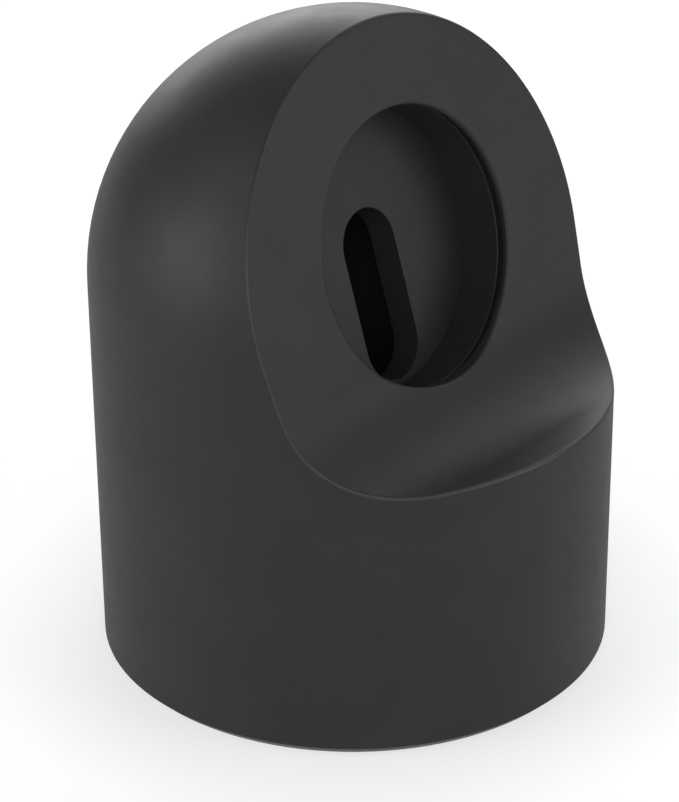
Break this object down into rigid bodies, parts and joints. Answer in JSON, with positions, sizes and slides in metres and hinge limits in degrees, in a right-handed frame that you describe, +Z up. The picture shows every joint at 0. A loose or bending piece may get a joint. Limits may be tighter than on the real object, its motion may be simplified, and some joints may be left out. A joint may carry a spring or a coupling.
{
  "type": "smartwatch charging dock",
  "caption": "One-piece moulded rubber dock: round column with a dome, a leaning face with a round puck seat and lead slot, and a front ledge.",
  "frame": {"origin": "centre of the flat underside", "axes": "+Z up along the column, front (seat and ledge) at -Y, lead exit at +Y, X across"},
  "size_m": [0.053, 0.053, 0.067],
  "materials": {
    "silicone": "matt moulded silicone, charcoal"
  },
  "bodies": {
    "root": {"dock_body": "silicone"}
  },
  "joints": []
}
